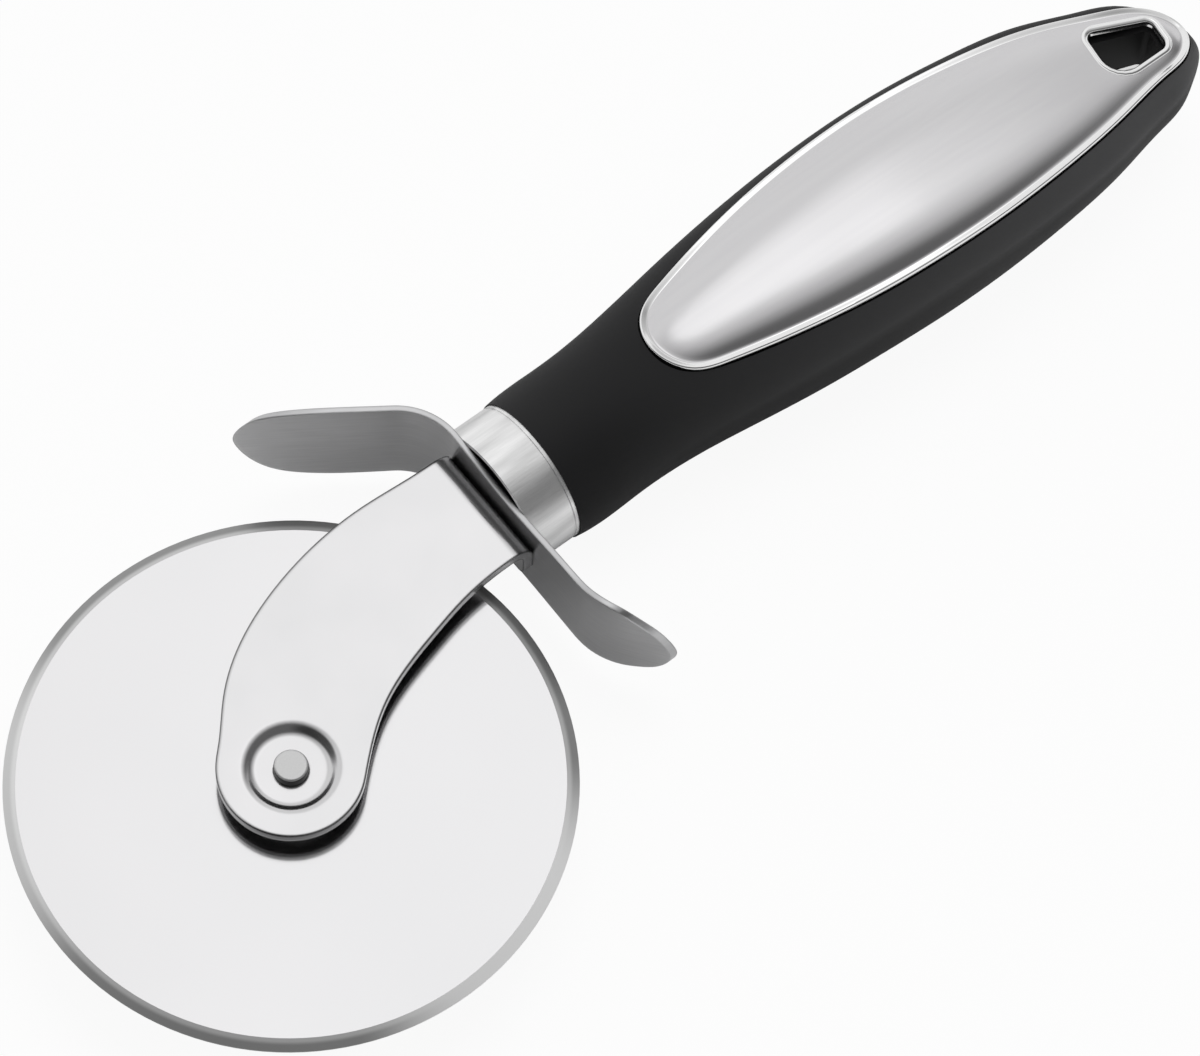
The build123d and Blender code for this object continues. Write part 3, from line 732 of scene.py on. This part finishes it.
def plate_grid():
    build = bmesh.new()
    lines = []
    for j in range(columns + 1):
        x = (upper_edge[j][0] + lower_edge[j][0]) / 2
        share = (x - grip_start) / handle_length
        way_along = (share - ends[0]) / (ends[1] - ends[0])
        inner = spine_ends[0] + way_along * (spine_ends[1] - spine_ends[0])
        spine = np.array([grip_start + inner * handle_length, middle_y(inner)])
        halves = []
        for edge in (upper_edge[j], lower_edge[j]):
            reach = np.linalg.norm(spine - edge)
            steps = [(inset / 1000 / reach, drop / 1000) for inset, drop in lip_rows
                     if inset / 1000 < lip_limit * reach]
            last = steps[-1]
            steps += [(last[0] + (1 - last[0]) * k / crown_rows, last[1] * (1 - k / crown_rows))
                      for k in range(1, crown_rows + 1)]
            while len(steps) < len(lip_rows) + crown_rows:
                steps.insert(-1, ((steps[-2][0] + 1) / 2, steps[-2][1] / 2))
            line = []
            for f, drop in steps:
                x, y = edge + (spine - edge) * f
                height = mid_z + plate_height(x, y)
                levels = (height - drop, height - plate_depth)
                line.append([build.verts.new((x, y, level)) for level in levels])
            halves.append(line)
        lines.append(halves[0] + halves[1][-2::-1])
    last = len(lines[0]) - 1
    for here, there in zip(lines, lines[1:]):
        for k in range(last):
            for level in (0, 1):
                corners = (here[k][level], here[k + 1][level], there[k + 1][level], there[k][level])
                build.faces.new(corners).material_index = int(min(k, last - 1 - k) < lip_count)
        for k in (0, last):
            build.faces.new((here[k][0], there[k][0], there[k][1], here[k][1]))
    bmesh.ops.remove_doubles(build, verts=build.verts, dist=1e-7)
    bmesh.ops.dissolve_degenerate(build, edges=build.edges, dist=1e-8)
    return build


front_plate = new_piece("front_plate", plate_grid(), chrome, polished_chrome)
print("front plate", len(front_plate.data.vertices), "points, before the hole is cut")

# %% [markdown]
# ## Cut the hang hole
# A block with the outline of the rim goes through the plate, and a boolean modifier takes it away.
# The modifier is applied, so the plate is plain geometry again.

# %% Cut the hang hole into the plate
cutter_bottom, cutter_top = mid_z + 0.001, mid_z + 0.02


def hole_cutter():
    build = bmesh.new()
    rings = []
    for z in (cutter_bottom, cutter_top):
        ring = [point + way_out * (rim_reach - rim_overlap) for point, way_out in hole_edge]
        rings.append([build.verts.new((*spot, z)) for spot in ring])
    for k in range(len(hole_edge)):
        n = (k + 1) % len(hole_edge)
        build.faces.new((rings[0][k], rings[0][n], rings[1][n], rings[1][k]))
    build.faces.new(rings[0])
    build.faces.new(rings[1])
    return build


def cut_hole(piece):
    cutter = new_piece("hole_cutter", hole_cutter(), chrome)
    cut = piece.modifiers.new("hang_hole", "BOOLEAN")
    cut.object = cutter
    cut.operation = "DIFFERENCE"
    cut.solver = "EXACT"
    bpy.context.view_layer.update()
    finished = piece.evaluated_get(bpy.context.evaluated_depsgraph_get())
    piece.data = bpy.data.meshes.new_from_object(finished)
    piece.modifiers.clear()
    bpy.data.objects.remove(cutter)


cut_hole(front_plate)
print("front plate", len(front_plate.data.vertices), "points, with the hole")

# %% [markdown]
# ## Lay the rim
# The rim's rows become rings round the hole, joined ring to ring. Then both pieces are shaded
# smooth, apart from edges that are sharper than 40 degrees.

# %% Lay the rim round the hole
sharp_angle = math.radians(40)


def rim_ring():
    build = bmesh.new()
    rings = []
    for out, down in rim_rows:
        ring = []
        for point, way_out in hole_edge:
            spot = point + way_out * out / 1000
            ring.append(build.verts.new((*spot, mid_z + plate_height(*spot) - down / 1000)))
        rings.append(ring)
    # The last ring is joined to the first one again, under the bead, so the rim is a solid too.
    for top, low_ring in zip(rings, rings[1:] + rings[:1]):
        for k in range(len(top)):
            n = (k + 1) % len(top)
            build.faces.new((top[k], top[n], low_ring[n], low_ring[k]))
    return build


def soften(piece):
    for face in piece.data.polygons:
        face.use_smooth = True
    piece.data.set_sharp_from_angle(angle=sharp_angle)


front_rim = new_piece("front_hole_rim", rim_ring(), polished_chrome)
for piece in (front_plate, front_rim):
    soften(piece)
print("front rim", len(front_rim.data.vertices), "points")

# %% [markdown]
# ## Turn the plate over for the back
# A mirrored copy has its faces inside out, so they are flipped back.

# %% Make the back plate and seat all four pieces
def turned_over(piece, name):
    mesh = piece.data.copy()
    mesh.transform(Matrix.Translation((0, 0, 2 * mid_z)) @ Matrix.Scale(-1, 4, (0, 0, 1)))
    mesh.flip_normals()
    other = bpy.data.objects.new(name, mesh)
    bpy.context.scene.collection.objects.link(other)
    return other


rear_plate = turned_over(front_plate, "rear_plate")
rear_rim = turned_over(front_rim, "rear_hole_rim")
for piece in (front_plate, front_rim, rear_plate, rear_rim):
    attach(piece, "handle")
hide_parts("front_inlay")
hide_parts("rear_inlay")
for name in ("front_inlay", "rear_inlay"):
    dress(name, chrome)

# %% [markdown]
# ## Close
# Standard view transform shows colours as they are written.

# %% Finish
bpy.context.scene.view_settings.view_transform = "Standard"
